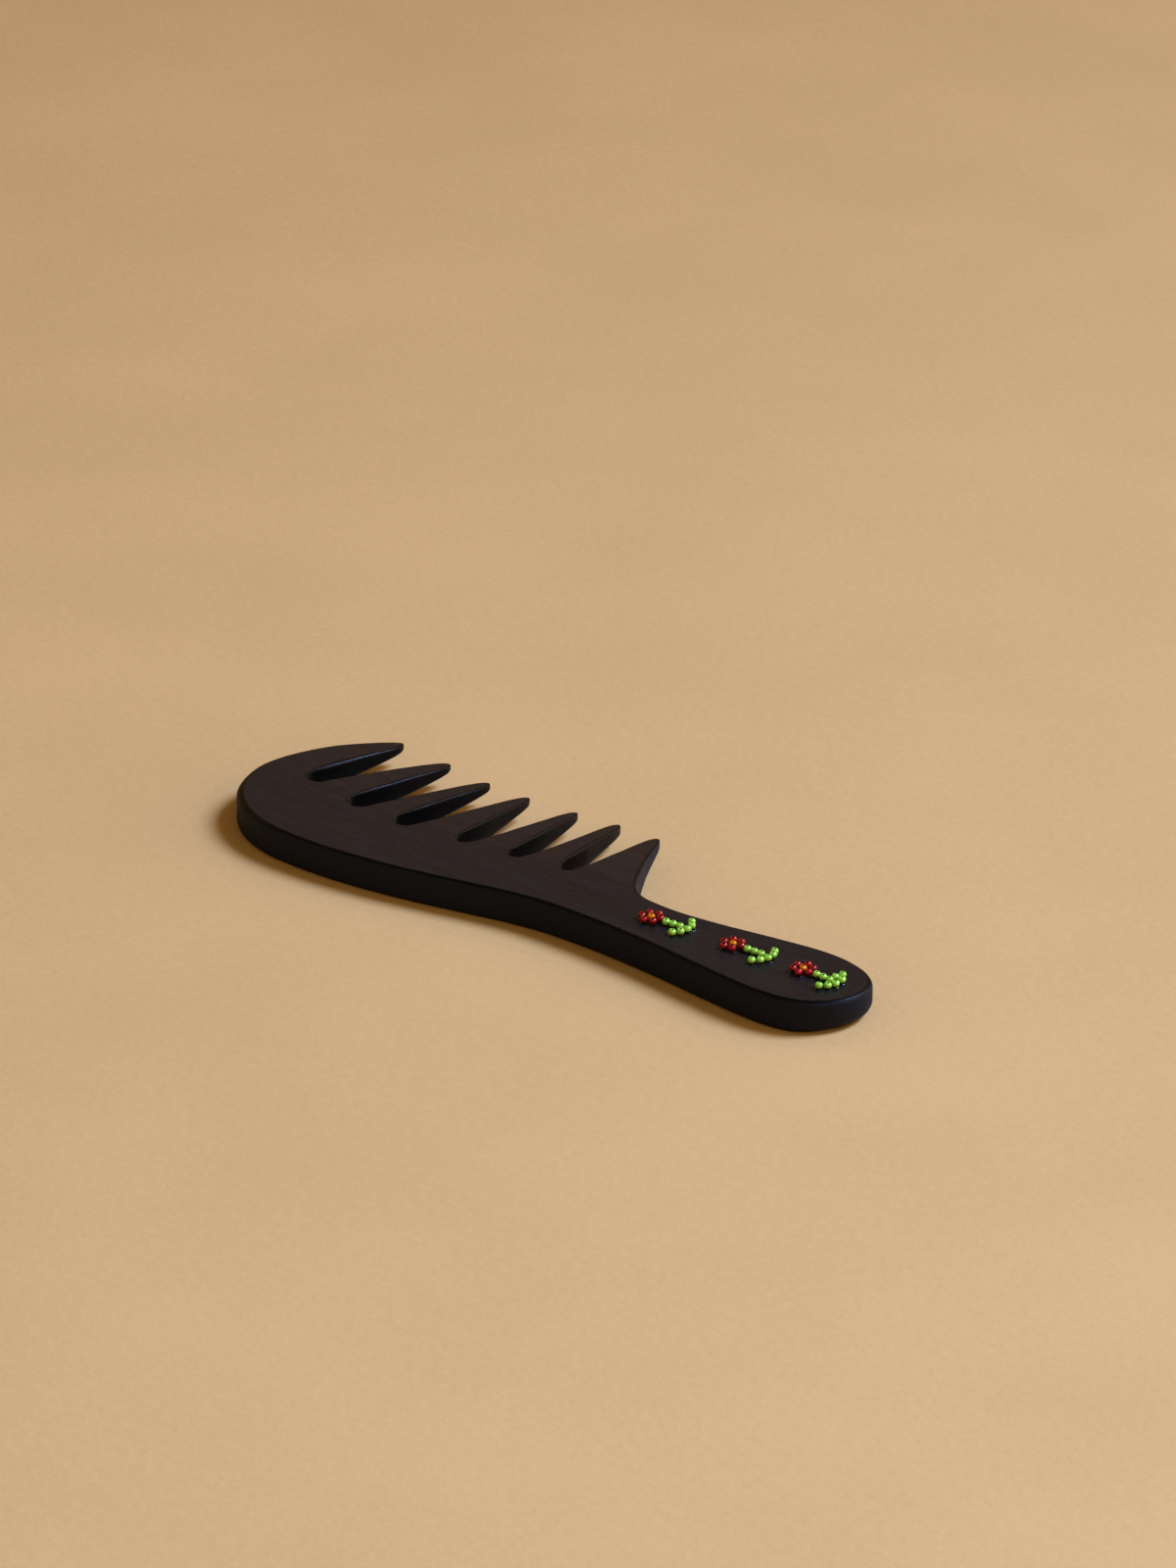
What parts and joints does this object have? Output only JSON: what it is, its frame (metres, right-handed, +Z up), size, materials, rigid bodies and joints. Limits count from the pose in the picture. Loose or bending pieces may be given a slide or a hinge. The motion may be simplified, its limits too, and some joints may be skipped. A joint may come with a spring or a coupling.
{
  "type": "wide-tooth comb",
  "caption": "Flat dark wooden wide-tooth comb with a rounded handle and small seed-bead flowers glued along the handle's face.",
  "frame": {"origin": "under the middle of the comb's box, on the flat face that it lies on", "axes": "+X along the comb to the rounded end of the handle, +Y to the tips of the teeth, +Z up through the board to the face with the beads"},
  "size_m": [0.202, 0.0676, 0.0103],
  "materials": {
    "wood": "black-stained hardwood with a satin lacquer, filed smooth between the teeth",
    "bead_red": "glossy red glass seed beads",
    "bead_amber": "glossy amber glass seed beads",
    "bead_green": "glossy opaque light green glass seed beads"
  },
  "bodies": {
    "root": {"comb_body": "wood", "flower_1_petals": "bead_red", "flower_1_centre": "bead_amber", "flower_1_stem": "bead_green", "flower_1_leaf": "bead_green", "flower_2_petals": "bead_red", "flower_2_centre": "bead_amber", "flower_2_stem": "bead_green", "flower_2_leaf": "bead_green", "flower_3_petals": "bead_red", "flower_3_centre": "bead_amber", "flower_3_stem": "bead_green", "flower_3_leaf": "bead_green"}
  },
  "joints": []
}
